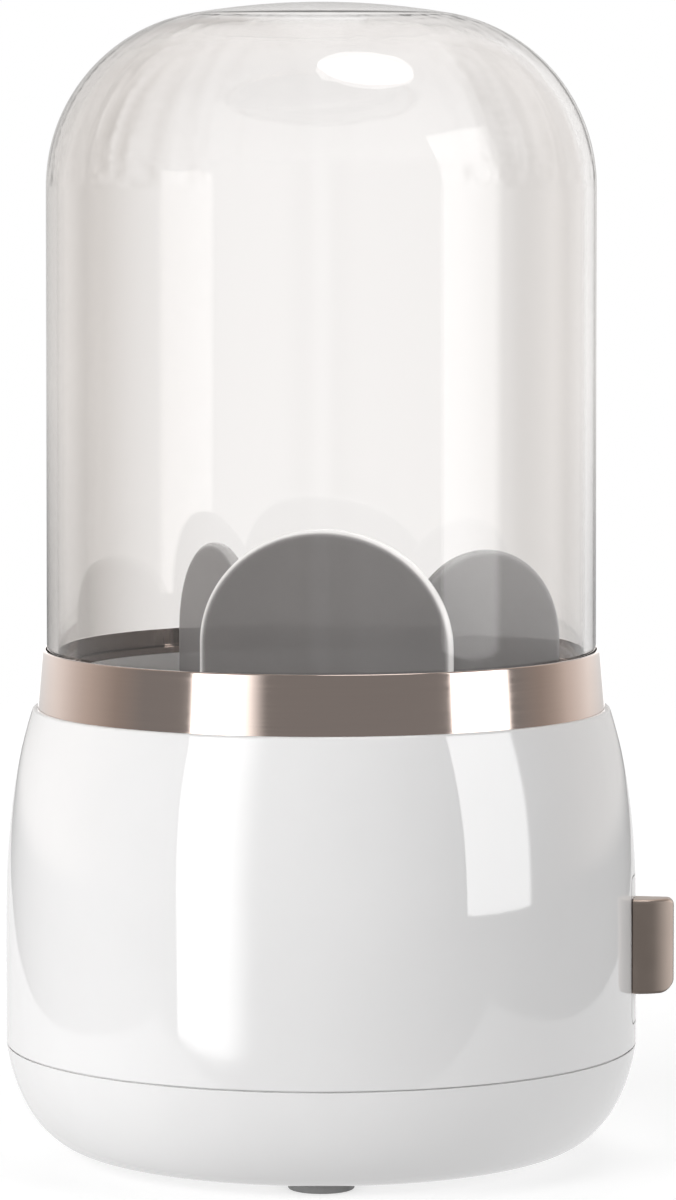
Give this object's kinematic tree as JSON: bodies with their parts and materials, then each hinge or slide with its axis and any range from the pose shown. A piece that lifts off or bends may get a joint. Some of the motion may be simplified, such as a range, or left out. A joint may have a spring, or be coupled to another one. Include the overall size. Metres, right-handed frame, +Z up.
{
  "type": "rotating makeup organizer",
  "caption": "Round barrel pot on a ball turntable with a swing-out drawer, a metal collar, a lift-out arched divider and a clear lift-off dome for brushes and cosmetics.",
  "frame": {"origin": "on the turning axis at table height, under the centre of the base", "axes": "+Z up along the turning axis, -Y to the front, +X to the side of the pull tab"},
  "size_m": [0.148, 0.1402, 0.256],
  "materials": {
    "white_gloss": "polished moulded plastic",
    "white_inner": "plain moulded plastic",
    "taupe_metal": "polished taupe anodised",
    "grey_gloss": "polished grey moulded plastic",
    "clear_dome": "clear polished plastic",
    "foot_rubber": "matte grey rubber",
    "steel": "bright zinc plated",
    "bush_brass": "turned"
  },
  "bodies": {
    "base": {"base_shell": "white_gloss", "foot_front": "foot_rubber", "foot_right": "foot_rubber", "foot_back": "foot_rubber", "foot_left": "foot_rubber", "lower_race": "steel", "lower_race_screws": "steel", "pivot_bolt": "steel"},
    "cage": {"ball_cage": "white_inner", "bearing_balls": "steel"},
    "pot": {"pot_shell": "white_gloss", "pot_floor": "white_inner", "floor_screws": "steel", "upper_race": "steel", "upper_race_screws": "steel", "pivot_bushing": "bush_brass", "pivot_washer": "bush_brass", "inner_cup": "white_inner", "trim_ring": "taupe_metal", "drawer_pin": "steel", "pin_washer": "bush_brass", "pin_clip": "steel", "catch_magnet": "steel"},
    "insert": {"divider_floor": "grey_gloss", "divider_mid": "grey_gloss", "divider_right": "grey_gloss", "divider_left": "grey_gloss"},
    "drawer": {"drawer_tray": "white_inner", "drawer_front": "white_gloss", "drawer_pull": "taupe_metal", "pull_screws": "steel", "front_screws": "steel", "drawer_bushing": "bush_brass", "catch_plate": "steel"},
    "dome": {"dome_cover": "clear_dome"}
  },
  "joints": [
    {"name": "pot_spin", "type": "hinge", "parent": "base", "child": "pot", "pos_m": [0, 0, 0.0264], "axis": [0, 0, 1], "continuous": true},
    {"name": "cage_spin", "type": "hinge", "parent": "base", "child": "cage", "pos_m": [0, 0, 0.0222], "axis": [0, 0, 1], "continuous": true},
    {"name": "drawer_swing", "type": "hinge", "parent": "pot", "child": "drawer", "pos_m": [0.02911, 0.05474, 0.0455], "axis": [0, 0, 1], "range_deg": [0, 75]},
    {"name": "insert_lift", "type": "slide", "parent": "pot", "child": "insert", "axis": [0, 0, 1], "range_m": [0, 0.07]},
    {"name": "dome_lift", "type": "slide", "parent": "pot", "child": "dome", "axis": [0, 0, 1], "range_m": [0, 0.16]}
  ],
  "couplings": [
    {"joint": "cage_spin", "follows": "pot_spin", "ratio": 0.5}
  ]
}
